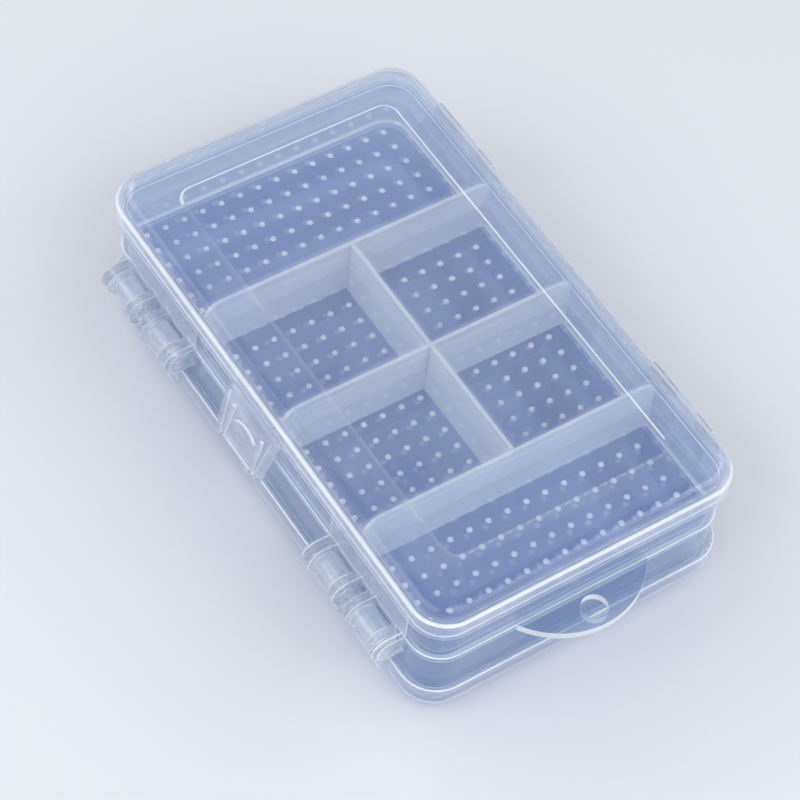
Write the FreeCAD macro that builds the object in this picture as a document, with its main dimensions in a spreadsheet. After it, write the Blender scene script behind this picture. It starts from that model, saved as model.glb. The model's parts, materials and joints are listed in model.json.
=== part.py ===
import FreeCAD, Part
import Sketcher
import math
import os

# A double-sided compartment box: a clear tray with a floor at half height, dividers above and
# below that floor, and two alike lids, one on top and one underneath, each with two snap-on
# hinges along one long side and a flexing latch tab along the other.
# Every piece is drawn about the middle of the box: X runs along it towards the hang tab, Y across
# it towards the top lid's hinges, Z up. The lower pieces are the upper ones turned over about X.

os.makedirs("parts", exist_ok=True)
doc = FreeCAD.newDocument("compartment_box")

# Driving dimensions in millimetres

DIMENSIONS = (
    ("box_height", 32.0, "from the panel of one lid to the panel of the other"),
    ("tray_length", 107.9, "outside of the tray wall, along the box"),
    ("tray_width", 62.7, "outside of the tray wall, across the box"),
    ("tray_corner_radius", 5.8, "outside corner of the tray wall"),
    ("wall_thickness", 0.9, "tray wall"),
    ("wall_drop", 5.3, "wall rim below the lid's panel"),
    ("floor_thickness", 1.2, "shared floor of both layers"),
    ("bead_reach", 0.3, "how far the floor's edge stands out of the wall"),
    ("divider_thickness", 0.9, "every divider"),
    ("divider_drop", 2.8, "divider edge below the lid's panel"),
    ("divider_spacing_share", 0.2433, "cross divider to cross divider, of the tray's length"),
    ("divider_corner_radius", 3.2, "rounded corner that clears the lid's own rounding"),
    ("upper_shift_share", 0.0394, "middle upper divider beyond the middle, of the tray's length"),
    ("lid_gap", 0.4, "between lid skirt and tray wall, so the skirt can swing clear"),
    ("lid_skirt", 0.9, "thickness of the lid's skirt"),
    ("lid_corner_radius", 7.0, "outside corner of the lid band"),
    ("lid_rim_drop", 7.8, "lid edge below the lid's panel"),
    ("lid_band", 4.2, "height of the lid's rim band"),
    ("lid_step", 0.5, "how far the dome is set in from the band"),
    ("lid_wall", 1.0, "thickness of the dome"),
    ("lid_rounding", 2.9, "outside rounding along the top of the dome"),
    ("lid_bevel", 1.1, "bevel inside the dome, behind its rounding"),
    ("lid_seam", 0.4, "seam of the panel inside the rounding"),
    ("lid_seat_gap", 0.2, "between the lid's shoulder and the wall rim"),
    ("panel_end_inset", 9.95, "raised panel inside the lid band, at either end"),
    ("panel_side_inset", 9.85, "raised panel inside the lid band, along either side"),
    ("panel_corner_radius", 2.7, "corner of the raised panel"),
    ("panel_rise", 0.4, "height of the raised panel"),
    ("hinge_place_share", 0.3225, "middle of a hinge from the middle of the box, of the tray's length"),
    ("hinge_reach", 3.35, "hinge axis outside the tray wall"),
    ("hinge_rise", 1.2, "hinge axis above the middle of the floor"),
    ("pin_radius", 1.2, "moulded hinge pin"),
    ("pin_play", 0.05, "running fit of a barrel on its pin, on the radius"),
    ("barrel_radius", 2.7, "outside of a lid barrel"),
    ("barrel_length", 5.7, "one lid barrel"),
    ("barrel_mouth", 2.0, "opening through which a barrel snaps over its pin"),
    ("lug_radius", 3.0, "rounded end of a tray lug"),
    ("outer_lug", 3.0, "thickness of a lug at a hinge's end"),
    ("inner_lug", 1.7, "thickness of a lug beside the middle"),
    ("lug_opening", 2.8, "open space between the two inner lugs"),
    ("side_play", 0.15, "between a barrel and the lug beside it"),
    ("lug_bevel", 0.7, "bevelled outer edge of a hinge's end lug"),
    ("plate_gap", 0.8, "between a hinge's backing plate and the edge of the lid on its side"),
    ("arm_base", 1.25, "thickness of a hinge arm where it leaves the lid band"),
    ("arm_grip", 3.4, "top of the hinge arms above the lid's edge"),
    ("strip_height", 3.0, "strip that joins a hinge's two arms"),
    ("arm_lean", 2.5, "foot of an arm's outer face, outside the hinge axis"),
    ("arm_foot", 1.0, "foot of an arm's faces, above the hinge axis"),
    ("latch_root_inset", 1.2, "root of the latch above the lid's edge"),
    ("latch_thickness", 1.2, "latch tab"),
    ("latch_length", 10.4, "latch tab from root to lip"),
    ("latch_width", 15.6, "latch tab at its root"),
    ("latch_lip_width", 13.2, "latch tab at its lip"),
    ("latch_lean", 15.5, "outward lean of the latch in degrees"),
    ("latch_border", 1.0, "raised border along the latch's sides and lip"),
    ("latch_relief", 0.6, "height of the border, the ribs and the nub"),
    ("latch_rib", 0.7, "thickness of a slanted rib"),
    ("latch_rib_inset", 2.9, "slanted rib inside the latch's side, at its upper end"),
    ("latch_rib_start", 1.9, "upper end of a slanted rib below the root"),
    ("latch_rib_foot", 1.6, "slanted rib inside the latch's side, at its lower end"),
    ("latch_slot_width", 5.6, "slot in the latch, along the box"),
    ("latch_slot_height", 1.0, "slot in the latch, along the tab"),
    ("latch_slot_drop", 1.7, "middle of the slot below the root"),
    ("nub_drop", 4.1, "middle of the lens-shaped nub below the root"),
    ("nub_half_width", 3.2, "lens-shaped nub, along the box"),
    ("nub_half_height", 1.0, "lens-shaped nub, along the tab"),
    ("catch_width", 6.0, "catch on the tray wall"),
    ("catch_reach", 2.4, "nose of the catch outside the tray wall"),
    ("catch_foot", 1.4, "lower end of the catch above the middle of the floor"),
    ("catch_slope", 1.0, "rise from the catch's foot to its nose"),
    ("catch_nose", 0.8, "flat nose of the catch"),
    ("catch_back", 2.2, "rise from the catch's nose to its upper end"),
    ("tab_width", 27.5, "hang tab where it leaves the floor's edge"),
    ("tab_reach", 7.4, "hang tab beyond the floor's edge"),
    ("tab_thickness", 1.6, "hang tab"),
    ("tab_hole_radius", 2.4, "hole in the hang tab"),
    ("tab_hole_reach", 3.6, "middle of the hole beyond the floor's edge"),
)


class Size:
    """A dimension that knows both its number and the expression that gives it."""

    def __init__(self, rule, number):
        self.rule = rule
        self.number = number

    def __float__(self):
        return self.number

    def joined(self, sign, other, number):
        text = other.rule if isinstance(other, Size) else str(other)
        return Size(f"({self.rule} {sign} {text})", number)

    def __add__(self, other):
        return self.joined("+", other, self.number + float(other))

    def __sub__(self, other):
        return self.joined("-", other, self.number - float(other))

    def __mul__(self, other):
        return self.joined("*", other, self.number * float(other))

    def __truediv__(self, other):
        return self.joined("/", other, self.number / float(other))

    def __neg__(self):
        return Size(f"(-{self.rule})", -self.number)


class Sizes:
    """Holds one Size under each alias of the sheet."""


sheet = doc.addObject("Spreadsheet::Sheet", "Sheet")
size = Sizes()
for row, (alias, number, meaning) in enumerate(DIMENSIONS, start=1):
    sheet.set(f"A{row}", alias)
    sheet.set(f"B{row}", str(number))
    sheet.set(f"C{row}", meaning)
    sheet.setAlias(f"B{row}", alias)
    setattr(size, alias, Size(f"Sheet.{alias}", number))
doc.recompute()

# Sizes that follow from the driving ones

half_height = size.box_height / 2
tray_half_length = size.tray_length / 2
tray_half_width = size.tray_width / 2
half_floor = size.floor_thickness / 2
inner_half_length = tray_half_length - size.wall_thickness
inner_half_width = tray_half_width - size.wall_thickness
inner_corner_radius = size.tray_corner_radius - size.wall_thickness
bead_half_length = tray_half_length + size.bead_reach
bead_half_width = tray_half_width + size.bead_reach
lid_half_length = tray_half_length + size.lid_gap + size.lid_skirt
lid_half_width = tray_half_width + size.lid_gap + size.lid_skirt
dome_half_length = lid_half_length - size.lid_step
dome_half_width = lid_half_width - size.lid_step
dome_radius = size.lid_corner_radius - size.lid_step
wall_rise = half_height - size.wall_drop
divider_rise = half_height - size.divider_drop
divider_spacing = size.tray_length * size.divider_spacing_share
upper_shift = size.tray_length * size.upper_shift_share
lid_top = half_height - size.panel_rise
lid_ceiling = lid_top - size.lid_wall
lid_rim_rise = half_height - size.lid_rim_drop
band_top = lid_rim_rise + size.lid_band
rounding_start = lid_top - size.lid_rounding
hinge_place = size.tray_length * size.hinge_place_share
hinge_axis = tray_half_width + size.hinge_reach
bore_radius = size.pin_radius + size.pin_play
barrel_start = size.lug_opening / 2 + size.inner_lug + size.side_play
barrel_end = barrel_start + size.barrel_length
bracket_half = barrel_end + size.side_play + size.outer_lug
arm_top = lid_rim_rise + size.arm_grip
latch_root_rise = lid_rim_rise + size.latch_root_inset
latch_root = lid_half_width + size.latch_thickness / 2

zero = size.box_height - size.box_height
up = FreeCAD.Vector(0, 0, 1)
along = FreeCAD.Vector(1, 0, 0)
TURNED_OVER = 180.0
LEVEL_TOLERANCE = 1e-4
START, END, CENTRE = range(1, 4)
ACROSS_AXIS, UPRIGHT_AXIS = range(-1, -3, -1)
ORIGIN = (ACROSS_AXIS, START)


def bind(item, name, dimension):
    """Lets a dimension of the sheet drive one property of an object."""
    item.setExpression(name, dimension.rule)


def set_in_box(item, turned=0.0, x=None, y=None, z=None):
    """Places a finished piece, upright or turned over about X."""
    item.Placement = FreeCAD.Placement(FreeCAD.Vector(0, 0, 0), FreeCAD.Rotation(along, turned))
    bind(item, "Placement.Base.z", half_height + (z if z else zero))
    if x:
        bind(item, "Placement.Base.x", x)
    if y:
        bind(item, "Placement.Base.y", y)


def new_body(label):
    """Starts one sub-part."""
    body = doc.addObject("PartDesign::Body", label)
    body.Label = label
    return body


def new_sketch(body, name, role, offset=None):
    """Opens a sketch on one of the body's own planes, moved along its normal by an offset."""
    plane = next(item for item in body.Origin.OriginFeatures if item.Role == role)
    sketch = body.newObject("Sketcher::SketchObject", f"{body.Name}_{name}")
    sketch.AttachmentSupport = [(plane, "")]
    sketch.MapMode = "FlatFace"
    if offset:
        bind(sketch, "AttachmentOffset.Base.z", offset)
    return sketch


def add_limit(sketch, constraint, dimension):
    """Adds a constraint whose value comes from the sheet."""
    index = sketch.addConstraint(constraint)
    bind(sketch, f"Constraints[{index}]", dimension)


def tie_point(sketch, item, end, across=None, upward=None):
    """Ties a point to its distances from the sketch's origin."""
    ways = (("DistanceX", across, UPRIGHT_AXIS), ("DistanceY", upward, ACROSS_AXIS))
    for kind, distance, axis in ways:
        if distance is None:
            continue
        if float(distance) == 0:
            sketch.addConstraint(Sketcher.Constraint("PointOnObject", item, end, axis))
        elif float(distance) > 0:
            add_limit(sketch, Sketcher.Constraint(kind, *ORIGIN, item, end, float(distance)), distance)
        else:
            add_limit(sketch, Sketcher.Constraint(kind, item, end, *ORIGIN, -float(distance)), -distance)


def draw_polygon(sketch, corners):
    """Draws a closed outline whose corners are pairs of dimensions."""
    places = [FreeCAD.Vector(float(across), float(upward), 0) for across, upward in corners]
    lines = []
    for place, after in zip(places, places[1:] + places[:1]):
        lines.append(sketch.addGeometry(Part.LineSegment(place, after)))
    for line, after in zip(lines, lines[1:] + lines[:1]):
        sketch.addConstraint(Sketcher.Constraint("Coincident", line, END, after, START))
    for line, (across, upward) in zip(lines, corners):
        tie_point(sketch, line, START, across, upward)


def draw_rectangle(sketch, left, right, low, high):
    """Draws an upright rectangle between four dimensions."""
    draw_polygon(sketch, ((left, low), (right, low), (right, high), (left, high)))


def draw_circle(sketch, across, upward, radius):
    """Draws a circle about a point given by two dimensions."""
    place = FreeCAD.Vector(float(across), float(upward), 0)
    ring = sketch.addGeometry(Part.Circle(place, up, float(radius)))
    tie_point(sketch, ring, CENTRE, across, upward)
    add_limit(sketch, Sketcher.Constraint("Radius", ring, float(radius)), radius)


def draw_rounded_rectangle(sketch, half_length, half_width, radius):
    """Draws a rectangle with four equal round corners about the sketch's origin."""
    quarter_turn = math.pi / 2
    corner_signs = ((1, 1), (-1, 1), (-1, -1), (1, -1))
    arcs = []
    for turn, (side, end) in enumerate(corner_signs):
        place = FreeCAD.Vector(side * float(half_length - radius), end * float(half_width - radius), 0)
        circle = Part.Circle(place, up, float(radius))
        arc = Part.ArcOfCircle(circle, turn * quarter_turn, (turn + 1) * quarter_turn)
        arcs.append(sketch.addGeometry(arc))
    sides = ((None, half_width), (-half_length, None), (None, -half_width), (half_length, None))
    directions = ("Horizontal", "Vertical", "Horizontal", "Vertical")
    for arc, after, side, direction in zip(arcs, arcs[1:] + arcs[:1], sides, directions):
        place = sketch.getPoint(arc, END)
        line = sketch.addGeometry(Part.LineSegment(place, sketch.getPoint(after, START)))
        sketch.addConstraint(Sketcher.Constraint("Tangent", arc, END, line, START))
        sketch.addConstraint(Sketcher.Constraint("Tangent", line, END, after, START))
        sketch.addConstraint(Sketcher.Constraint(direction, line))
        tie_point(sketch, line, START, *side)
    for arc in arcs[1:]:
        sketch.addConstraint(Sketcher.Constraint("Equal", arcs[0], arc))
    add_limit(sketch, Sketcher.Constraint("Radius", arcs[0], float(radius)), radius)


def draw_lens(sketch, drop, half_width, half_height):
    """Draws two arcs that meet in points at both ends, below the sketch's origin."""
    radius = (half_width * half_width + half_height * half_height) / (half_height * 2)
    sag = float(radius - half_height)
    half_angle = math.asin(float(half_width) / float(radius))
    arcs = []
    for side in (1, -1):
        middle = side * math.pi / 2
        circle = Part.Circle(FreeCAD.Vector(0, -float(drop) - side * sag, 0), up, float(radius))
        arc = Part.ArcOfCircle(circle, middle - half_angle, middle + half_angle)
        arcs.append(sketch.addGeometry(arc))
        tie_point(sketch, arcs[-1], START, half_width * side, -drop)
        add_limit(sketch, Sketcher.Constraint("Radius", arcs[-1], float(radius)), radius)
    upper_arc, lower_arc = arcs
    sketch.addConstraint(Sketcher.Constraint("Coincident", upper_arc, END, lower_arc, START))
    sketch.addConstraint(Sketcher.Constraint("Coincident", lower_arc, END, upper_arc, START))


def add_pad(body, sketch, length, both_ways=False):
    """Raises a sketch along its normal, or evenly to both sides of it."""
    pad = body.newObject("PartDesign::Pad", f"{sketch.Name}_pad")
    pad.Profile = sketch
    pad.SideType = "Symmetric" if both_ways else "One side"
    bind(pad, "Length", length)
    doc.recompute()
    return pad


def add_pocket(body, sketch, length, both_ways=False, with_normal=False):
    """Cuts a sketch out of the body and makes sure that something was cut."""
    before = body.Shape.Volume
    pocket = body.newObject("PartDesign::Pocket", f"{sketch.Name}_pocket")
    pocket.Profile = sketch
    pocket.SideType = "Symmetric" if both_ways else "One side"
    pocket.Reversed = with_normal
    bind(pocket, "Length", length)
    doc.recompute()
    if body.Shape.Volume >= before:
        raise RuntimeError(f"{pocket.Name} cuts nothing")
    return pocket


def add_edge_finish(body, feature, kind, amount_name, amount, chosen):
    """Finishes the edges of a feature that a test picks out."""
    names = [f"Edge{place}" for place, edge in enumerate(feature.Shape.Edges, start=1) if chosen(edge)]
    finish = body.newObject(f"PartDesign::{kind}", f"{feature.Name}_{kind.lower()}")
    finish.Base = (feature, names)
    bind(finish, amount_name, amount)
    doc.recompute()
    return finish


def add_fillet(body, feature, radius, chosen):
    """Rounds the chosen edges of a feature."""
    return add_edge_finish(body, feature, "Fillet", "Radius", radius, chosen)


def add_bevel(body, feature, width, chosen):
    """Bevels the chosen edges of a feature."""
    return add_edge_finish(body, feature, "Chamfer", "Size", width, chosen)


def lies_at(edge, height):
    """True for an edge that lies flat at a height."""
    box = edge.BoundBox
    return max(abs(box.ZMin - float(height)), abs(box.ZMax - float(height))) < LEVEL_TOLERANCE


def build_floor():
    """The floor that both layers share; its edge shows outside as a narrow bead."""
    body = new_body("tray_floor")
    outline = new_sketch(body, "outline", "XY_Plane")
    bead_radius = size.tray_corner_radius + size.bead_reach
    draw_rounded_rectangle(outline, bead_half_length, bead_half_width, bead_radius)
    add_pad(body, outline, size.floor_thickness, both_ways=True)
    set_in_box(body)
    return body


def build_wall(label, turned):
    """The wall that stands on the floor, open at its rim."""
    body = new_body(label)
    outline = new_sketch(body, "outline", "XY_Plane", half_floor)
    draw_rounded_rectangle(outline, tray_half_length, tray_half_width, size.tray_corner_radius)
    draw_rounded_rectangle(outline, inner_half_length, inner_half_width, inner_corner_radius)
    add_pad(body, outline, wall_rise - half_floor)
    set_in_box(body, turned)
    return body


def build_cross_divider(label, turned, place):
    """A divider from wall to wall, with both free corners rounded."""
    body = new_body(label)
    face = new_sketch(body, "face", "YZ_Plane")
    draw_rectangle(face, -inner_half_width, inner_half_width, half_floor, divider_rise)
    pad = add_pad(body, face, size.divider_thickness, both_ways=True)
    add_fillet(
        body, pad, size.divider_corner_radius,
        lambda edge: lies_at(edge, divider_rise) and edge.BoundBox.YLength < LEVEL_TOLERANCE)
    set_in_box(body, turned, x=place)
    return body


def build_long_divider(label, place):
    """A divider along the box, from one upper cross divider to the next."""
    divider = doc.addObject("Part::Box", label)
    half_thickness = size.divider_thickness / 2
    bind(divider, "Length", divider_spacing - size.divider_thickness)
    bind(divider, "Width", size.divider_thickness)
    bind(divider, "Height", divider_rise - half_floor)
    set_in_box(divider, x=place + half_thickness, y=-half_thickness, z=half_floor)
    return divider


def build_bracket(label, turned, place):
    """Four lugs on the tray wall with the moulded pin that runs through them."""
    body = new_body(label)
    root = new_sketch(body, "root", "YZ_Plane")
    low = size.hinge_rise - size.lug_radius
    high = size.hinge_rise + size.lug_radius
    draw_polygon(root, (
        (tray_half_width, low), (hinge_axis, low), (hinge_axis, high), (tray_half_width, high),
        (tray_half_width, half_floor), (bead_half_width, half_floor),
        (bead_half_width, -half_floor), (tray_half_width, -half_floor)))
    add_pad(body, root, bracket_half * 2, both_ways=True)
    nose = new_sketch(body, "nose", "YZ_Plane")
    draw_circle(nose, hinge_axis, size.hinge_rise, size.lug_radius)
    lug = add_pad(body, nose, bracket_half * 2, both_ways=True)
    add_bevel(
        body, lug, size.lug_bevel,
        lambda edge: edge.BoundBox.XLength < LEVEL_TOLERANCE and edge.BoundBox.YMax > float(hinge_axis))
    for name, left, right in (
            ("left_slot", -barrel_end - size.side_play, -barrel_start + size.side_play),
            ("opening", -size.lug_opening / 2, size.lug_opening / 2),
            ("right_slot", barrel_start - size.side_play, barrel_end + size.side_play)):
        slot = new_sketch(body, name, "XY_Plane")
        draw_rectangle(slot, left, right, inner_half_width, hinge_axis + size.lug_radius * 2)
        add_pocket(body, slot, size.box_height, both_ways=True)
    plate = new_sketch(body, "plate", "YZ_Plane")
    draw_rectangle(plate, tray_half_width, bead_half_width, size.plate_gap - lid_rim_rise, -half_floor)
    add_pad(body, plate, bracket_half * 2, both_ways=True)
    pin = new_sketch(body, "pin", "YZ_Plane")
    draw_circle(pin, hinge_axis, size.hinge_rise, size.pin_radius)
    add_pad(body, pin, (bracket_half - size.outer_lug / 2) * 2, both_ways=True)
    set_in_box(body, turned, x=place)
    return body


def build_catch(label, turned):
    """The wedge on the tray wall that the latch snaps past."""
    body = new_body(label)
    wedge = new_sketch(body, "wedge", "YZ_Plane")
    nose = -tray_half_width - size.catch_reach
    nose_low = size.catch_foot + size.catch_slope
    nose_high = nose_low + size.catch_nose
    draw_polygon(wedge, (
        (-tray_half_width, size.catch_foot), (nose, nose_low), (nose, nose_high),
        (-tray_half_width, nose_high + size.catch_back)))
    add_pad(body, wedge, size.catch_width, both_ways=True)
    set_in_box(body, turned)
    return body


def build_hang_tab():
    """The half-moon tab with its hole, level with the floor's edge."""
    reach = size.tab_reach
    tab_radius = (size.tab_width * size.tab_width / 4 + reach * reach) / (reach * 2)
    disc = doc.addObject("Part::Cylinder", "tab_disc")
    bind(disc, "Radius", tab_radius)
    bind(disc, "Height", size.tab_thickness)
    bind(disc, "Placement.Base.x", reach - tab_radius)
    block = doc.addObject("Part::Box", "tab_block")
    bind(block, "Length", reach)
    bind(block, "Width", size.tab_width)
    bind(block, "Height", size.tab_thickness)
    bind(block, "Placement.Base.y", -size.tab_width / 2)
    moon = doc.addObject("Part::MultiCommon", "tab_moon")
    moon.Shapes = [disc, block]
    drill = doc.addObject("Part::Cylinder", "tab_drill")
    bind(drill, "Radius", size.tab_hole_radius)
    bind(drill, "Height", size.tab_thickness)
    bind(drill, "Placement.Base.x", size.tab_hole_reach)
    tab = doc.addObject("Part::Cut", "hang_tab")
    tab.Base = moon
    tab.Tool = drill
    set_in_box(tab, x=bead_half_length, z=-size.tab_thickness / 2)
    return tab


def form_lid(name):
    """A shallow dish: rim band, set-in dome with a rounded edge, and a raised panel."""
    body = new_body(f"{name}_form")
    band = new_sketch(body, "band", "XY_Plane", lid_rim_rise)
    draw_rounded_rectangle(band, lid_half_length, lid_half_width, size.lid_corner_radius)
    add_pad(body, band, size.lid_band)
    dome = new_sketch(body, "dome", "XY_Plane", band_top)
    draw_rounded_rectangle(dome, dome_half_length, dome_half_width, dome_radius)
    dome_pad = add_pad(body, dome, lid_top - band_top)
    add_fillet(body, dome_pad, size.lid_rounding, lambda edge: lies_at(edge, lid_top))
    skirt = new_sketch(body, "skirt", "XY_Plane", lid_rim_rise)
    draw_rounded_rectangle(
        skirt, tray_half_length + size.lid_gap, tray_half_width + size.lid_gap,
        size.lid_corner_radius - size.lid_skirt)
    add_pocket(body, skirt, wall_rise + size.lid_seat_gap - lid_rim_rise, with_normal=True)
    inside = new_sketch(body, "inside", "XY_Plane", lid_rim_rise)
    draw_rounded_rectangle(
        inside, dome_half_length - size.lid_wall, dome_half_width - size.lid_wall,
        dome_radius - size.lid_wall)
    hollow = add_pocket(body, inside, lid_ceiling - lid_rim_rise, with_normal=True)
    add_bevel(body, hollow, size.lid_bevel, lambda edge: lies_at(edge, lid_ceiling))
    panel = new_sketch(body, "panel", "XY_Plane", lid_top)
    draw_rounded_rectangle(
        panel, lid_half_length - size.panel_end_inset, lid_half_width - size.panel_side_inset,
        size.panel_corner_radius)
    add_pad(body, panel, size.panel_rise)
    return body


def build_lid(name, turned):
    """Parts the dish, which is one moulding, into its upright band, its rounded edge and its flat top."""
    dish = form_lid(name)
    upright = new_body(f"{name}_upright")
    upright_outline = new_sketch(upright, "outline", "XY_Plane", lid_rim_rise)
    draw_rounded_rectangle(upright_outline, lid_half_length, lid_half_width, size.lid_corner_radius)
    add_pad(upright, upright_outline, rounding_start - lid_rim_rise)
    flat = new_body(f"{name}_flat")
    flat_outline = new_sketch(flat, "outline", "XY_Plane", lid_ceiling)
    flat_inset = size.lid_rounding + size.lid_seam
    draw_rounded_rectangle(
        flat_outline, dome_half_length - flat_inset, dome_half_width - flat_inset, dome_radius - flat_inset)
    add_pad(flat, flat_outline, size.lid_wall + size.panel_rise)
    band = doc.addObject("Part::MultiCommon", f"{name}_band")
    band.Shapes = [dish, upright]
    panel = doc.addObject("Part::MultiCommon", f"{name}_panel")
    panel.Shapes = [dish, flat]
    dome = doc.addObject("Part::Cut", f"{name}_dome")
    dome.Base = dish
    dome.Tool = upright
    edge = doc.addObject("Part::Cut", f"{name}_edge")
    edge.Base = dome
    edge.Tool = flat
    parts = [band, edge, panel]
    for part in parts:
        set_in_box(part, turned)
    return parts


def build_hinge_leaf(label, turned, place):
    """Two barrels on the lid's arms, each open towards the wall so that it snaps over the pin."""
    body = new_body(label)
    barrel = new_sketch(body, "barrel", "YZ_Plane")
    draw_circle(barrel, hinge_axis, size.hinge_rise, size.barrel_radius)
    add_pad(body, barrel, barrel_end * 2, both_ways=True)
    arm = new_sketch(body, "arm", "YZ_Plane")
    foot = size.hinge_rise + size.arm_foot
    draw_polygon(arm, (
        (lid_half_width, foot), (hinge_axis, size.hinge_rise), (hinge_axis + size.arm_lean, foot),
        (lid_half_width + size.arm_base, arm_top), (lid_half_width, arm_top)))
    add_pad(body, arm, barrel_end * 2, both_ways=True)
    bore = new_sketch(body, "bore", "YZ_Plane")
    draw_circle(bore, hinge_axis, size.hinge_rise, bore_radius)
    add_pocket(body, bore, size.tray_length, both_ways=True)
    mouth = new_sketch(body, "mouth", "YZ_Plane")
    half_mouth = size.barrel_mouth / 2
    draw_rectangle(
        mouth, tray_half_width, hinge_axis, size.hinge_rise - half_mouth, size.hinge_rise + half_mouth)
    add_pocket(body, mouth, size.tray_length, both_ways=True)
    parting = new_sketch(body, "parting", "XZ_Plane")
    draw_rectangle(
        parting, -barrel_start, barrel_start, size.hinge_rise - size.lug_radius, arm_top - size.strip_height)
    add_pocket(body, parting, size.tray_length, both_ways=True)
    set_in_box(body, turned, x=place)
    return body


def build_latch(label, turned, side):
    """The flexing tab, drawn hanging from its root and leaning outwards once placed."""
    body = new_body(label)
    half_root = size.latch_width / 2
    half_lip = size.latch_lip_width / 2
    lip = -size.latch_length
    plate = new_sketch(body, "plate", "XZ_Plane")
    draw_polygon(plate, ((-half_root, zero), (-half_lip, lip), (half_lip, lip), (half_root, zero)))
    add_pad(body, plate, size.latch_thickness, both_ways=True)
    root = new_sketch(body, "root", "YZ_Plane")
    draw_circle(root, zero, zero, size.latch_thickness / 2)
    add_pad(body, root, size.latch_width, both_ways=True)
    slot = new_sketch(body, "slot", "XZ_Plane")
    half_slot = size.latch_slot_height / 2
    draw_rectangle(
        slot, -size.latch_slot_width / 2, size.latch_slot_width / 2,
        -size.latch_slot_drop - half_slot, half_slot - size.latch_slot_drop)
    add_pocket(body, slot, size.latch_thickness * 2, both_ways=True)
    outside = size.latch_thickness / 2
    border = new_sketch(body, "border", "XZ_Plane", outside)
    inner_lip = size.latch_border - size.latch_length
    draw_polygon(border, (
        (-half_root, zero), (-half_lip, lip), (half_lip, lip), (half_root, zero),
        (half_root - size.latch_border, zero), (half_lip - size.latch_border, inner_lip),
        (size.latch_border - half_lip, inner_lip), (size.latch_border - half_root, zero)))
    add_pad(body, border, size.latch_relief)
    rib_top = half_root - size.latch_rib_inset
    rib_foot = half_lip - size.latch_rib_foot
    for name, hand in (("left_rib", -1), ("right_rib", 1)):
        rib = new_sketch(body, name, "XZ_Plane", outside)
        draw_polygon(rib, (
            (rib_top * hand, -size.latch_rib_start), (rib_foot * hand, inner_lip),
            ((rib_foot - size.latch_rib) * hand, inner_lip),
            ((rib_top - size.latch_rib) * hand, -size.latch_rib_start)))
        add_pad(body, rib, size.latch_relief)
    nub = new_sketch(body, "nub", "XZ_Plane", outside)
    draw_lens(nub, size.nub_drop, size.nub_half_width, size.nub_half_height)
    add_pad(body, nub, size.latch_relief)
    set_in_box(body, turned, y=-latch_root * side, z=latch_root_rise * side)
    lean = size.latch_lean if side > 0 else -size.latch_lean + TURNED_OVER
    body.Placement.Rotation = FreeCAD.Rotation(along * -side, float(lean))
    bind(body, "Placement.Rotation.Angle", lean)
    return body


pieces = [
    build_floor(),
    build_hang_tab(),
    build_long_divider("upper_first_long_divider", upper_shift - divider_spacing),
    build_long_divider("upper_second_long_divider", upper_shift),
]
for layer, turned, side, shift in (("upper", 0.0, 1, upper_shift), ("lower", TURNED_OVER, -1, zero)):
    lid_name = "top" if side > 0 else "bottom"
    hinge_side = "rear" if side > 0 else "front"
    latch_side = "front" if side > 0 else "rear"
    pieces.append(build_wall(f"tray_{layer}_wall", turned))
    for order, step in (("first", -1), ("second", 0), ("third", 1)):
        place = shift + divider_spacing * step
        pieces.append(build_cross_divider(f"{layer}_{order}_divider", turned, place))
    for end, hand in (("left", -1), ("right", 1)):
        pieces.append(build_bracket(f"{hinge_side}_{end}_hinge_lugs", turned, hinge_place * hand))
        pieces.append(build_hinge_leaf(f"{lid_name}_lid_{end}_leaf", turned, hinge_place * hand))
    pieces.append(build_catch(f"{latch_side}_catch", turned))
    pieces.extend(build_lid(f"{lid_name}_lid", turned))
    pieces.append(build_latch(f"{lid_name}_latch", turned, side))
doc.recompute()

for item in doc.Objects:
    if "Invalid" in item.State or "Error" in item.State:
        raise RuntimeError(f"{item.Name} failed: {item.State}")
for piece in pieces:
    if piece.Shape.isNull() or not piece.Shape.isValid():
        raise RuntimeError(f"{piece.Label} has no valid shape")
    piece.Shape.exportStep(f"parts/{piece.Label}.step")
    box = piece.Shape.BoundBox
    print(
        f"{piece.Label}: {len(piece.Shape.Solids)} solid, {piece.Shape.Volume:.1f} mm3, "
        f"x {box.XMin:.2f} {box.XMax:.2f}, y {box.YMin:.2f} {box.YMax:.2f}, z {box.ZMin:.2f} {box.ZMax:.2f}")
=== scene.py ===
# %% [markdown]
# # A clear double-sided parts box
# The box is three thin mouldings of clear plastic: a tray with compartments on both faces of one
# floor, and two alike lids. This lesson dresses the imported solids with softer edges, the dotted
# floor, and plastics that let the light through.

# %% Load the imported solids
import json
import math
from collections import namedtuple

import bmesh
import bpy
from mathutils import Matrix, Quaternion, Vector

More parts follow.
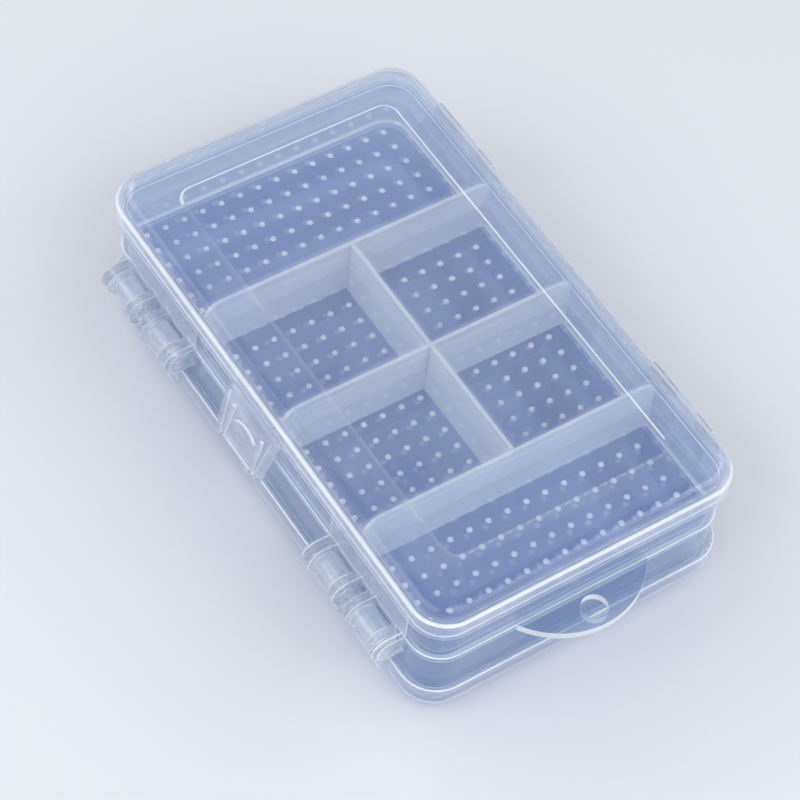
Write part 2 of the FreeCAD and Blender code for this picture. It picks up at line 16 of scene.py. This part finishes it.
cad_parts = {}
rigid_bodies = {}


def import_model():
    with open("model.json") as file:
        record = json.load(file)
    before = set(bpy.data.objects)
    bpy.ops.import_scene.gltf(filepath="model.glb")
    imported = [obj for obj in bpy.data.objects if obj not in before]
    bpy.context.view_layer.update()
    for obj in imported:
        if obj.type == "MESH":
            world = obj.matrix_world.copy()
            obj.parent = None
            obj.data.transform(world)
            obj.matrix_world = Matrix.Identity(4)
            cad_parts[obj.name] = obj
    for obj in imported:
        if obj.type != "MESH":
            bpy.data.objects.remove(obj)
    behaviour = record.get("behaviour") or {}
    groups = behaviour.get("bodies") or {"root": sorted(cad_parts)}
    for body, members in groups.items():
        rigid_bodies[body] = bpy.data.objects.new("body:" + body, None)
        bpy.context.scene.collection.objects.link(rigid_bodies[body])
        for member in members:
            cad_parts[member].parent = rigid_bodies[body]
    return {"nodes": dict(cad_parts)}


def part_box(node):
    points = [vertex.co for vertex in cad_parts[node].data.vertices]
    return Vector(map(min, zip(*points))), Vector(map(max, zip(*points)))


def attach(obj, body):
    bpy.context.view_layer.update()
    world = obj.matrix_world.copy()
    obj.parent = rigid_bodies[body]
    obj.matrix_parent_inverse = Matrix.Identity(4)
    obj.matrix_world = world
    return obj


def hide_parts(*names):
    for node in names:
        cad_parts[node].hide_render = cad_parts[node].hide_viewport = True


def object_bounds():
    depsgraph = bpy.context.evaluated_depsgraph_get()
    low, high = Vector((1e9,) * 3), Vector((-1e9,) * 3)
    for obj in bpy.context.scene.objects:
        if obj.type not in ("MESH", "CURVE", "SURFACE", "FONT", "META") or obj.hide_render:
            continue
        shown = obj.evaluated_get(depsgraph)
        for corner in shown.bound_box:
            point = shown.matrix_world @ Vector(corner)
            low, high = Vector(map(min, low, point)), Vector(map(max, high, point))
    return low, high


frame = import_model()
cad_low, cad_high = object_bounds()
MM = 0.001
print("solids:", len(frame["nodes"]), "box in mm:", [round(v / MM, 1) for v in cad_high - cad_low])

# %% [markdown]
# Every moulding here is built up from rounded rectangles, so one kind of ring describes them all:
# half its length, half its width, its corner radius and its height. A ring can be set in evenly,
# which keeps its corners round. A plain box with a bevel would lose that evenness.

# %% Rounded rings
Ring = namedtuple("Ring", "half_length half_width radius height")
CORNER_STEPS = 8


def set_in(ring, amount, height):
    """The ring moved inwards by an amount and put at a height."""
    return Ring(ring.half_length - amount, ring.half_width - amount, ring.radius - amount, height)


def node_ring(node, radius, height=0.0):
    """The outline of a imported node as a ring."""
    low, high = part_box(node)
    return Ring((high.x - low.x) / 2, (high.y - low.y) / 2, radius, height)


middle_height = (cad_low.z + cad_high.z) / 2
print("middle of the box in mm:", round(middle_height / MM, 2))

# %% [markdown]
# A level face with beveled corner points is the seed of a moulding. Extruding it and moving the new
# edge loop to the next ring walks up the outside, over the rim and down the inside, so that the wall
# gets its true thickness and the mesh stays one closed skin, which clear plastic needs.

# %% Walk a face through rings
def seed_face(bm, ring):
    """Makes a level face with four round corners."""
    bmesh.ops.create_grid(bm, x_segments=1, y_segments=1, size=1.0)
    bmesh.ops.scale(bm, vec=(ring.half_length, ring.half_width, 1.0), verts=bm.verts)
    bmesh.ops.translate(bm, vec=(0.0, 0.0, ring.height), verts=bm.verts)
    bmesh.ops.bevel(
        bm, geom=bm.verts[:], offset=ring.radius, offset_type="OFFSET", segments=CORNER_STEPS,
        profile=0.5, affect="VERTICES", clamp_overlap=True, material=-1)
    return bm.faces[:][0]


def walk(bm, face, ring, rings, keep=False):
    """Extrudes a face from its own ring through a row of rings and returns the last face."""
    for after in rings:
        made = bmesh.ops.extrude_face_region(bm, geom=[face])["geom"]
        if not keep:
            bmesh.ops.delete(bm, geom=[face], context="FACES_ONLY")
        face = next(item for item in made if isinstance(item, bmesh.types.BMFace))
        for vert in face.verts:
            for axis in (0, 1):
                side = math.copysign(1.0, vert.co[axis])
                turn = (abs(vert.co[axis]) - ring[axis] + ring.radius) / ring.radius
                vert.co[axis] = side * (after[axis] - after.radius + after.radius * turn)
            vert.co.z = after.height
        ring = after
    return face


# %% [markdown]
# Each finished mesh becomes an object at the origin that rides on its body and stands for its packed
# nodes. Faces are shaded smooth except at sharp bends, and weighted normals keep the broad faces flat.
# A face also holds the number of its finish, so that narrow edge strips can take a painted highlight: a
# whiter finish that stands in for the bright lines light draws along moulded edges.

# %% Make a piece
SHARP_BEND, EDGE_STEPS = math.radians(38), 2


def mark(bm, pick):
    """Gives every face the number of its finish."""
    for face in bm.faces:
        face.material_index = int(pick(face))


def is_strip(face, width):
    """True for a face narrower than a width."""
    shortest = min(edge.calc_length() for edge in face.edges)
    return max(shortest, 2 * face.calc_area() / face.calc_perimeter()) < width


def make_piece(bm, name, body, nodes):
    """Turns a bmesh into a piece of the object."""
    bmesh.ops.recalc_face_normals(bm, faces=bm.faces)
    mesh = bpy.data.meshes.new(name)
    bm.to_mesh(mesh)
    bm.free()
    mesh.shade_smooth()
    mesh.set_sharp_from_angle(angle=SHARP_BEND)
    piece = bpy.data.objects.new(name, mesh)
    bpy.context.scene.collection.objects.link(piece)
    weighted = piece.modifiers.new("flat_faces", "WEIGHTED_NORMAL")
    weighted.keep_sharp = True
    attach(piece, body)
    if nodes:
        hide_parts(*nodes)
    print(name, "faces:", len(mesh.polygons))
    return piece


# %% [markdown]
# The tray is one skin: from the bead at the floor's edge up the wall, over its rim and down to the
# upper side of the floor, and the same below. The small fillet along the floor shows as a fine light
# line round each compartment; its narrow strips, like those of the rim and the bead, get a painted
# highlight.

# %% Tray
BEAD_RADIUS, WALL_RADIUS = 6.1 * MM, 5.8 * MM
WALL, SOFT = 0.9 * MM, 0.22 * MM
FLOOR_FILLET, FILLET_SAG, NARROW, HAIR = 0.5 * MM, 0.15 * MM, 0.4 * MM, 0.01 * MM
WALLS, EDGES, FLOOR = 0, 1, 2
QUAD = 4
bead = node_ring("tray_floor", BEAD_RADIUS)
outer = node_ring("tray_upper_wall", WALL_RADIUS)
floor_low, floor_high = (corner.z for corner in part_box("tray_floor"))
rim_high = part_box("tray_upper_wall")[1].z


def wall_rings(sign):
    """The rings from the bead over the rim to the floor, above (1) or below (-1) the middle."""
    floor = (floor_high - floor_low) / 2
    rim = rim_high - middle_height
    rows = (
        (bead, 0.0, floor - SOFT / 2), (bead, SOFT / 2, floor), (outer, 0.0, floor),
        (outer, 0.0, rim - SOFT), (outer, SOFT, rim), (outer, WALL - SOFT, rim),
        (outer, WALL, rim - SOFT), (outer, WALL, floor + FLOOR_FILLET),
        (outer, WALL + FILLET_SAG, floor + FILLET_SAG),
        (outer, WALL + FLOOR_FILLET, floor))
    return [set_in(ring, amount, middle_height + sign * rise) for ring, amount, rise in rows]


bm = bmesh.new()
above, below = wall_rings(1), wall_rings(-1)
lower_cap = seed_face(bm, below[0])
upper_cap = walk(bm, lower_cap, below[0], above[:1], keep=True)
walk(bm, upper_cap, above[0], above[1:])
walk(bm, lower_cap, below[0], below[1:])
# Painted highlight: narrow strips of the rim, bead and floor fillet take the white edge finish; the
# floor's big faces take the floor finish with its painted shade.
mark(bm, lambda face: FLOOR if len(face.verts) > QUAD else EDGES if is_strip(face, NARROW) else WALLS)
tray_shell = make_piece(
    bm, "tray_shell", "tray", ["tray_floor", "tray_upper_wall", "tray_lower_wall"])

# %% [markdown]
# A lid is the same kind of walk: up the rim band, over the small step to the dome, round its edge in
# a quarter circle, across to the raised panel, and back along the inside. The lower lid is the upper
# one turned over about the long axis, just as the factory uses one mould for both.

# %% Lids
BAND_RADIUS, BAND_HEIGHT, BAND_STEP = 7.0 * MM, 4.2 * MM, 0.5 * MM
SKIRT, DOME_WALL, ROUNDING, ROUND_STEPS = 0.9 * MM, 1.0 * MM, 2.9 * MM, 7
PANEL_INSET, PANEL_RADIUS, PANEL_RISE = (9.95 * MM, 9.85 * MM), 2.7 * MM, 0.4 * MM
SHOULDER, STEP_FOOT = 2.7 * MM, 0.12 * MM
CLEAR, PAINTED_HIGHLIGHT, BORDER, FAINT = 0, 1, 2, 3
band = node_ring("top_lid_band", BAND_RADIUS)
band_low, dome_start = (corner.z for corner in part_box("top_lid_band"))
lid_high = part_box("top_lid_panel")[1].z
lid_flat = lid_high - PANEL_RISE


def rounded_rings(ring, amount, radius):
    """Rings along a quarter circle that turns from upright to level."""
    rings = []
    for step in range(ROUND_STEPS + 1):
        angle = step / ROUND_STEPS * math.pi / 2
        inward, upward = radius * (1 - math.cos(angle)), radius * math.sin(angle)
        rings.append(set_in(ring, amount + inward, dome_start + upward))
    return rings


def panel_ring(amount, height):
    """The raised panel's outline set in by an amount."""
    ring = Ring(band.half_length - PANEL_INSET[0], band.half_width - PANEL_INSET[1], PANEL_RADIUS, height)
    return set_in(ring, amount, height)


def lid_part(face):
    """The finish of a lid's face: clear, a painted highlight on edge strips and on two sides of the
    panel's step, the panel's border, or the faint other two sides.
    """
    x, y, z = face.calc_center_median()
    if is_strip(face, NARROW):
        # Painted highlight: the band's strips and the step's +Y and -X sides, which face away from the
        # camera towards light from behind, get the white finish; the step's other two sides get the faint
        # one.
        bright = z < lid_flat - SOFT or y / band.half_width > x / band.half_length
        return PAINTED_HIGHLIGHT if bright else FAINT
    return BORDER if abs(z - lid_flat) < HAIR and len(face.verts) == QUAD else CLEAR


def make_lid(name, body, turned):
    """One lid, upright or turned over."""
    lid = bmesh.new()
    band_high = band_low + BAND_HEIGHT
    edge = set_in(band, SOFT, band_low)
    outside = [set_in(band, 0.0, band_low + SOFT), set_in(band, 0.0, band_high - SOFT)]
    outside += [set_in(band, SOFT, band_high), set_in(band, BAND_STEP, band_high)]
    outside += rounded_rings(band, BAND_STEP, ROUNDING)
    outside += [panel_ring(-PANEL_RISE, lid_flat), panel_ring(-STEP_FOOT, lid_flat)]
    outside += [panel_ring(0.0, lid_high - PANEL_RISE / 2), panel_ring(PANEL_RISE / 2, lid_high)]
    inside = [set_in(band, SKIRT - SOFT, band_low), set_in(band, SKIRT, band_low + SOFT)]
    inner = BAND_STEP + DOME_WALL
    inside += [set_in(band, SKIRT, band_low + SHOULDER), set_in(band, inner, band_low + SHOULDER)]
    inside += rounded_rings(band, inner, ROUNDING - DOME_WALL)
    under = seed_face(lid, edge)
    over = walk(lid, under, edge, outside[:1], keep=True)
    walk(lid, over, outside[0], outside[1:])
    walk(lid, under, edge, inside)
    mark(lid, lid_part)
    if turned:
        half_turn = Matrix.Rotation(math.pi, 3, "X")
        bmesh.ops.rotate(lid, cent=(0.0, 0.0, middle_height), matrix=half_turn, verts=lid.verts)
    nodes = [f"{body}_band", f"{body}_edge", f"{body}_panel"]
    return make_piece(lid, name, body, nodes)


top_dish = make_lid("top_lid_dish", "top_lid", False)
bottom_dish = make_lid("bottom_lid_dish", "bottom_lid", True)

# %% [markdown]
# The dividers are thin milky plates. Each starts as a cube scaled to its node's box; the two free
# corners get a wide bevel where the real plate clears the lid, and then every edge gets a fine one. Its
# narrow faces carry a painted highlight, the bright line along the top edge that makes a thin plate
# readable.

# %% Dividers
DIVIDER_ROUND, DIVIDER_STEPS = 3.2 * MM, 8
EDGE_SOFT, SQUARE_EDGE = 0.16 * MM, math.radians(60)


def make_divider(node, upward, rounded):
    """A divider plate in its node's place, a hair inside it so that no faces coincide."""
    low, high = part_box(node)
    plate = bmesh.new()
    bmesh.ops.create_cube(plate, size=1.0)
    bmesh.ops.scale(plate, vec=high - low - Vector((HAIR, HAIR, HAIR)) * 2, verts=plate.verts)
    bmesh.ops.translate(plate, vec=(low + high) / 2, verts=plate.verts)
    if rounded:
        free = high.z - HAIR if upward else low.z + HAIR
        corners = [
            edge for edge in plate.edges
            if all(abs(v.co.z - free) < HAIR / 2 for v in edge.verts)
            and abs(edge.verts[0].co.y - edge.verts[1].co.y) < HAIR]
        bmesh.ops.bevel(
            plate, geom=corners, offset=DIVIDER_ROUND, offset_type="OFFSET", segments=DIVIDER_STEPS,
            profile=0.5, affect="EDGES", clamp_overlap=True, material=-1)
    rims = [edge for edge in plate.edges if edge.calc_face_angle() > SQUARE_EDGE]
    bmesh.ops.bevel(
        plate, geom=rims, offset=EDGE_SOFT, offset_type="OFFSET", segments=EDGE_STEPS, profile=0.5,
        affect="EDGES", clamp_overlap=True, material=-1)
    # Painted highlight: faces narrower than the plate take the white edge finish.
    mark(plate, lambda face: is_strip(face, min(high.x - low.x, high.y - low.y)))
    return make_piece(plate, f"{node}_plate", "tray", [node])


dividers = []
for layer, upward in (("upper", True), ("lower", False)):
    for order in ("first", "second", "third"):
        dividers.append(make_divider(f"{layer}_{order}_divider", upward, True))
for order in ("first", "second"):
    dividers.append(make_divider(f"upper_{order}_long_divider", True, False))

# %% [markdown]
# Small moulded dots stand on the floor in a square pattern so that flat parts don't cling to it. One
# dome is cut from a coarse sphere, and two array modifiers repeat it, which keeps the file and the
# mesh small although there are hundreds of dots.

# %% Dots on the floor
DOT_PITCH, DOT_COLUMNS, DOT_ROWS = 4.0 * MM, 26, 14
DOT_RADIUS, DOT_RISE_SHARE = 0.6 * MM, 0.7
DOT_SIDES, DOT_LEVELS = 10, 6
dot = bmesh.new()
bmesh.ops.create_uvsphere(dot, u_segments=DOT_SIDES, v_segments=DOT_LEVELS, radius=DOT_RADIUS)
lower_half = bmesh.ops.bisect_plane(
    dot, geom=dot.verts[:] + dot.edges[:] + dot.faces[:], plane_co=(0, 0, 0), plane_no=(0, 0, -1),
    clear_outer=True)
rim = [item for item in lower_half["geom_cut"] if isinstance(item, bmesh.types.BMEdge)]
bmesh.ops.contextual_create(dot, geom=rim)
bmesh.ops.scale(dot, vec=(1.0, 1.0, DOT_RISE_SHARE), verts=dot.verts)
first_dot = Vector((-(DOT_COLUMNS - 1) / 2, -(DOT_ROWS - 1) / 2, 0.0)) * DOT_PITCH
bmesh.ops.translate(dot, vec=first_dot + Vector((0, 0, floor_high + HAIR)), verts=dot.verts)
floor_dots = make_piece(dot, "floor_dots", "tray", [])
for name, count, step in (("columns", DOT_COLUMNS, (1, 0, 0)), ("rows", DOT_ROWS, (0, 1, 0))):
    repeat = floor_dots.modifiers.new(name, "ARRAY")
    repeat.count = count
    repeat.use_relative_offset = False
    repeat.use_constant_offset = True
    repeat.constant_offset_displace = Vector(step) * DOT_PITCH

# %% [markdown]
# The hinge lugs, hinge leaves, latches, catches and the hang tab keep their imported shapes; only their
# edges are too sharp for a moulding. A merged copy of each mesh with a fine bevel on every sharp edge
# gives the thin highlights that small plastic parts show. The rounded edges of the hinges, the ribs of
# the latches and the upright edges of the tab are numbered for the painted highlight, a whiter finish
# for the bright lines that light draws there. A latch's root isn't, because there the real latch flows
# into its lid.

# %% Soft edges for the small mouldings
CRISP, FLAT = math.radians(40), math.radians(1)
SMALL_SOFT, RIB, WELD = 0.14 * MM, 0.8 * MM, 0.001 * MM
STEEP = 0.9


def soften(node, body, pick=lambda face: 0):
    """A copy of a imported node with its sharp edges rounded; pick numbers the finishes of its faces."""
    copy = bmesh.new()
    copy.from_mesh(frame["nodes"][node].data)
    bmesh.ops.remove_doubles(copy, verts=copy.verts, dist=WELD)
    bmesh.ops.dissolve_limit(
        copy, angle_limit=FLAT, use_dissolve_boundaries=False, verts=copy.verts, edges=copy.edges)
    crisp = [edge for edge in copy.edges if edge.is_manifold and edge.calc_face_angle() > CRISP]
    bmesh.ops.bevel(
        copy, geom=crisp, offset=SMALL_SOFT, offset_type="OFFSET", segments=EDGE_STEPS, profile=0.5,
        affect="EDGES", clamp_overlap=True, material=-1)
    mark(copy, pick)
    return make_piece(copy, f"{node}_moulding", body, [node])


def is_fine(face):
    """True for the strips of a rounded edge."""
    return is_strip(face, SMALL_SOFT)


# Painted highlight: the faces picked below take the white edge finish.
hinge_pieces, latch_pieces = [], []
for end in ("left", "right"):
    for side in ("front", "rear"):
        hinge_pieces.append(soften(f"{side}_{end}_hinge_lugs", "tray", is_fine))
    for lid in ("top_lid", "bottom_lid"):
        hinge_pieces.append(soften(f"{lid}_{end}_leaf", lid, is_fine))
for latch, root in (("top_latch", 1), ("bottom_latch", 0)):
    root_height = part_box(latch)[root].z
    latch_pieces.append(soften(latch, latch, lambda face: (
        is_strip(face, RIB) and abs(face.calc_center_median().z - root_height) > RIB)))
catches = [soften(f"{side}_catch", "tray") for side in ("front", "rear")]
hang_tab = soften("hang_tab", "tray", lambda face: abs(face.normal.z) < STEEP)

# %% [markdown]
# Shader sums read best as sums. This class wraps one socket: plus, minus and times add Math nodes, and
# `node` adds any other node, with its settings first and then its sockets.

# %% Sockets that can be added up
class Wire:
    """An output socket in a material's node tree."""

    def __init__(self, tree, socket=None):
        self.tree = tree
        self.socket = socket

    def node(self, kind, settings=(), sockets=(), output=0):
        """Adds a node and returns one of its outputs."""
        made = self.tree.nodes.new(kind)
        for name, value in dict(settings).items():
            setattr(made, name, value)
        for name, value in dict(sockets).items():
            if isinstance(value, Wire):
                self.tree.links.new(value.socket, made.inputs[name])
            else:
                made.inputs[name].default_value = value
        return Wire(self.tree, made.outputs[output] if made.outputs else None)

    def maths(self, operation, first, second):
        """Adds a Math node for two wires or numbers."""
        return self.node("ShaderNodeMath", {"operation": operation}, {0: first, 1: second})

    def __add__(self, other):
        return self.maths("ADD", self, other)

    __radd__ = __add__

    def __mul__(self, other):
        return self.maths("MULTIPLY", self, other)

    __rmul__ = __mul__

    def __sub__(self, other):
        return self.maths("SUBTRACT", self, other)

    def __rsub__(self, other):
        return self.maths("SUBTRACT", other, self)


def new_finish(name):
    """An empty material and the wire to start from."""
    finish = bpy.data.materials.new(name)
    finish.use_nodes = True
    finish.node_tree.nodes.clear()
    return finish, Wire(finish.node_tree)


# %% [markdown]
# Clear plastic isn't glass: a thin wall hardly bends what is seen through it, tints it a little, and
# scatters a share of the light, more where the wall is seen edge-on. So four shaders are mixed: bent
# and straight light, a mirror for the glints, and a milky one. Straight light matters most here,
# because lamps shine through it and brighten the inside. The shares drift slowly over the surface.

# %% Clear plastic
COLOUR_FACTOR, COLOUR_A, COLOUR_B, COLOUR_OUT = 0, 6, 7, 2
BEND = 1.49
DRIFT_SCALE, RIPPLE_SCALE = 70.0, 420.0
DRIFT_SHADE, DRIFT_GLOSS = 0.94, 0.08
HAZE_LEAST, HAZE_SPREAD = 0.7, 0.6
RIPPLE_STRENGTH, RIPPLE_DEPTH = 0.05, 0.2 * MM


def uneven(wire, colour, drift):
    """A colour that is a little darker in places."""
    darker = [DRIFT_SHADE * part for part in colour]
    return wire.node("ShaderNodeMix", {"data_type": "RGBA"}, {
        COLOUR_FACTOR: drift, COLOUR_A: (*colour, 1), COLOUR_B: (*darker, 1)}, output=COLOUR_OUT)


def clear_plastic(name, tint, milk, haze, edge_haze, thin, roughness=0.06):
    """A see-through plastic: tint is light through one wall, thin the share that passes unbent."""
    finish, wire = new_finish(name)
    place = wire.node("ShaderNodeTexCoord", output="Object")
    drift = wire.node("ShaderNodeTexNoise", {}, {"Vector": place, "Scale": DRIFT_SCALE, "Detail": 3.0})
    ripple = wire.node("ShaderNodeTexNoise", {}, {"Vector": place, "Scale": RIPPLE_SCALE, "Detail": 2.0})
    wave = wire.node("ShaderNodeBump", {}, {
        "Strength": RIPPLE_STRENGTH, "Distance": RIPPLE_DEPTH, "Height": ripple})
    surface = {"Roughness": roughness + DRIFT_GLOSS * drift, "IOR": BEND, "Normal": wave}
    bent = wire.node("ShaderNodeBsdfPrincipled", {}, {
        "Base Color": uneven(wire, tint, drift), "Transmission Weight": 1.0, **surface})
    straight = wire.node("ShaderNodeBsdfTransparent", {}, {
        "Color": (*(math.sqrt(part) for part in tint), 1)})
    see_through = wire.node("ShaderNodeMixShader", {}, {0: thin, 1: bent, 2: straight})
    mirror = wire.node("ShaderNodeBsdfPrincipled", {}, {
        "Base Color": (1, 1, 1, 1), "Metallic": 1.0, **surface})
    behind = wire.node("ShaderNodeNewGeometry", output="Backfacing")
    glint = thin * (1.0 - behind) * wire.node("ShaderNodeFresnel", {}, {"IOR": BEND})
    glossy = wire.node("ShaderNodeMixShader", {}, {0: glint, 1: see_through, 2: mirror})
    milky = wire.node("ShaderNodeBsdfPrincipled", {}, {
        "Base Color": uneven(wire, milk, drift), **surface})
    facing = wire.node("ShaderNodeLayerWeight", {}, {"Blend": 0.5}, output="Facing")
    share = haze * (HAZE_LEAST + HAZE_SPREAD * drift) + edge_haze * facing * facing * facing
    mixed = wire.node("ShaderNodeMixShader", {}, {0: share, 1: glossy, 2: milky})
    wire.node("ShaderNodeOutputMaterial", {}, {"Surface": mixed})
    print("finish:", name)
    return finish


def paint(pieces, *finishes):
    """Gives pieces their finishes, in the order of the numbers that their faces hold."""
    for piece in pieces:
        if piece.data.materials:
            piece.data.materials.clear()
        for finish in finishes:
            piece.data.materials.append(finish)


# %% [markdown]
# One plastic looks different at each place of the box. The floor shows the deepest blue, partly its own
# tint and partly painted shade; the lids are nearly colourless; the dividers are frosted; the hinges are
# polished; the polished dots are painted milky white as a painted highlight for their glints; and thin
# edges carry a painted highlight for the light they gather. One finish for all would lose that, so each
# place has its own tint, milk and haze. The latches share the faint finish of the panel's sides.

# %% Finishes of the pieces
wall_finish = clear_plastic(
    "clear_wall", tint=(0.56, 0.66, 0.83), milk=(0.72, 0.80, 0.93),
    haze=0.05, edge_haze=0.5, thin=0.8)
# Painted shade: the floor is tinted a deeper blue than the walls of the same moulding, partly the
# plastic's own blue and partly shade painted in for the dark inside the compartments.
shaded_floor_finish = clear_plastic(
    "floor_painted_shade", tint=(0.40, 0.53, 0.85), milk=(0.58, 0.70, 0.93),
    haze=0.05, edge_haze=0.5, thin=0.8)
lid_finish = clear_plastic(
    "clear_lid", tint=(0.90, 0.935, 0.99), milk=(0.86, 0.91, 0.98),
    haze=0.02, edge_haze=0.6, thin=0.8)
border_finish = clear_plastic(
    "clear_border", tint=(0.74, 0.82, 0.95), milk=(0.82, 0.88, 1.0),
    haze=0.08, edge_haze=0.5, thin=0.8)
hinge_finish = clear_plastic(
    "clear_hinge", tint=(0.92, 0.95, 1.0), milk=(0.95, 0.98, 1.0),
    haze=0.09, edge_haze=0.6, thin=0.5, roughness=0.03)
# Painted highlight: the dots are almost all milky white, standing in for the glints that clear moulded
# dots show.
dot_glint_finish = clear_plastic(
    "dot_painted_highlight", tint=(0.97, 0.98, 1.0), milk=(0.98, 0.99, 1.0),
    haze=0.95, edge_haze=0.0, thin=0.0, roughness=0.02)
frost_finish = clear_plastic(
    "frosted_plate", tint=(0.88, 0.93, 1.0), milk=(0.95, 0.97, 1.0),
    haze=0.72, edge_haze=0.25, thin=0.5, roughness=0.3)
faint_finish = clear_plastic(
    "faint_edge", tint=(0.92, 0.95, 1.0), milk=(0.94, 0.96, 1.0),
    haze=0.10, edge_haze=0.2, thin=0.6)
# Painted highlight: a milky white finish for narrow edge strips, standing in for the bright lines that
# light draws along moulded edges.
highlight_edge_finish = clear_plastic(
    "painted_highlight_edge", tint=(0.95, 0.97, 1.0), milk=(0.96, 0.98, 1.0),
    haze=0.70, edge_haze=0.2, thin=0.3)
# Slot 1 of the tray, tab, lids, hinges, latches and dividers holds the painted highlight of their edge
# strips; the tray's slot 2 is the floor with its painted shade.
paint([tray_shell], wall_finish, highlight_edge_finish, shaded_floor_finish)
paint([hang_tab], wall_finish, highlight_edge_finish)
paint(catches, wall_finish)
paint([top_dish, bottom_dish], lid_finish, highlight_edge_finish, border_finish, faint_finish)
paint(hinge_pieces, hinge_finish, highlight_edge_finish)
paint(latch_pieces, faint_finish, highlight_edge_finish)
paint([floor_dots], dot_glint_finish)
paint(dividers, frost_finish, highlight_edge_finish)
paint(frame["nodes"].values(), wall_finish)
print("painted meshes:", sum(1 for item in bpy.data.objects if item.type == "MESH"))

# %% [markdown]
# The box lies on a plain pale table with a fine unevenness in its gloss. Near the box the table takes its
# shadow. Farther away it fades, for the camera only, into an even pale tone, so no edge shows.

# %% Table
TABLE_HALF, TABLE_COLOUR, SPECK_SCALE = 3.0, (0.70, 0.72, 0.76, 1), 300.0
TABLE_ROUGH, SPECK_ROUGH = 0.55, 0.1
BACKDROP, FADE_FROM, FADE_TO = (0.80, 0.82, 0.87, 1), 0.4, 1.4
table_mesh = bpy.data.meshes.new("table")
bm = bmesh.new()
bmesh.ops.create_grid(bm, x_segments=1, y_segments=1, size=TABLE_HALF)
bm.to_mesh(table_mesh)
bm.free()
table = bpy.data.objects.new("table", table_mesh)
bpy.context.scene.collection.objects.link(table)
table_finish, wire = new_finish("pale_table")
place = wire.node("ShaderNodeTexCoord", output="Object")
speck = wire.node("ShaderNodeTexNoise", {}, {"Vector": place, "Scale": SPECK_SCALE})
pale = wire.node("ShaderNodeBsdfPrincipled", {}, {
    "Base Color": TABLE_COLOUR, "Roughness": TABLE_ROUGH + SPECK_ROUGH * speck})
glow = wire.node("ShaderNodeEmission", {}, {"Color": BACKDROP})
away = wire.node("ShaderNodeVectorMath", {"operation": "LENGTH"}, {0: place}, output="Value")
fade = wire.node("ShaderNodeMapRange", {}, {"Value": away, "From Min": FADE_FROM, "From Max": FADE_TO})
fade = fade * wire.node("ShaderNodeLightPath", output="Is Camera Ray")
faded = wire.node("ShaderNodeMixShader", {}, {0: fade, 1: pale, 2: glow})
wire.node("ShaderNodeOutputMaterial", {}, {"Surface": faded})
table_mesh.materials.append(table_finish)
print("table half size in m:", TABLE_HALF)

# %% [markdown]
# The sky is as pale as the table to the camera, also through and in the plastic, although it lights the
# box with about half that strength. Light Path tells the kinds of rays apart, so the background stays
# pale without more light on the box.

# %% Sky
SKY_LIGHT, SKY_LOOK = 0.45, 0.80
SKY_COLOUR = (0.93, 0.95, 1.0, 1)
world = bpy.data.worlds.new("sky")
bpy.context.scene.world = world
world.use_nodes = True
world.node_tree.nodes.clear()
wire = Wire(world.node_tree)
seen = wire.node("ShaderNodeLightPath", output="Is Camera Ray")
for ray in ("Is Glossy Ray", "Is Transmission Ray"):
    seen = wire.maths("MAXIMUM", seen, wire.node("ShaderNodeLightPath", output=ray))
sky = wire.node("ShaderNodeBackground", {}, {
    "Color": SKY_COLOUR, "Strength": SKY_LIGHT + (SKY_LOOK - SKY_LIGHT) * seen})
wire.node("ShaderNodeOutputWorld", {}, {"Surface": sky})
print("sky strength as light and as seen:", SKY_LIGHT, SKY_LOOK)

# %% [markdown]
# Four soft boxes light the box, two large and two small. They could stand lower for longer highlights,
# but then a level lid would mirror one into a low view, so they stand high.

# %% Soft boxes
BIG_BOX = {"width": 0.9, "height": 0.5, "power": 3.3}
SMALL_BOX = {"width": 0.8, "height": 0.4, "power": 2.0}
LAMP_PLACES = (
    ("right_box", (0.68, 0.05, 0.62), BIG_BOX), ("front_box", (0.05, -0.68, 0.62), BIG_BOX),
    ("left_box", (-0.68, -0.25, 0.62), SMALL_BOX), ("rear_box", (0.30, 0.68, 0.62), SMALL_BOX))


def soft_box(name, place, width, height, power):
    """A rectangular lamp that points at the origin."""
    lamp = bpy.data.lights.new(name, "AREA")
    lamp.shape = "RECTANGLE"
    lamp.size = width
    lamp.size_y = height
    lamp.energy = power
    holder = bpy.data.objects.new(name, lamp)
    holder.location = place
    holder.rotation_euler = (-Vector(place)).to_track_quat("-Z", "Y").to_euler()
    bpy.context.scene.collection.objects.link(holder)


for name, place, shape in LAMP_PLACES:
    soft_box(name, place, **shape)
    print("lamp:", name, shape["power"], "W")

# %% [markdown]
# The camera stands where the photograph's did: its place and angles were solved from the square
# pattern of dots, so the picture can be laid over the photograph. Light gets more bounces than usual,
# because it crosses many thin walls before it leaves the box.

# %% Camera
VIEW_AZIMUTH, VIEW_ELEVATION, VIEW_ROLL = math.radians(51.06), math.radians(53.66), math.radians(7.67)
VIEW_PLACE, LENS, SENSOR = (0.2513, -0.2048, 0.4478), 134.94, 36.0
LIGHT_BOUNCES = 24
camera = bpy.data.cameras.new("camera")
camera.sensor_width = SENSOR
camera.lens = LENS
holder = bpy.data.objects.new("camera", camera)
holder.location = VIEW_PLACE
level = math.cos(VIEW_ELEVATION)
ahead = Vector((
    -math.sin(VIEW_AZIMUTH) * level, math.cos(VIEW_AZIMUTH) * level, -math.sin(VIEW_ELEVATION)))
holder.rotation_mode = "QUATERNION"
holder.rotation_quaternion = ahead.to_track_quat("-Z", "Y") @ Quaternion((0, 0, 1), VIEW_ROLL)
bpy.context.scene.collection.objects.link(holder)
bpy.context.scene.camera = holder
bpy.context.scene.view_settings.view_transform = "Standard"
bpy.context.scene.cycles.max_bounces = LIGHT_BOUNCES
bpy.context.scene.cycles.transmission_bounces = LIGHT_BOUNCES
bpy.context.scene.cycles.transparent_max_bounces = LIGHT_BOUNCES
print("camera place in m:", VIEW_PLACE, "light bounces:", LIGHT_BOUNCES)
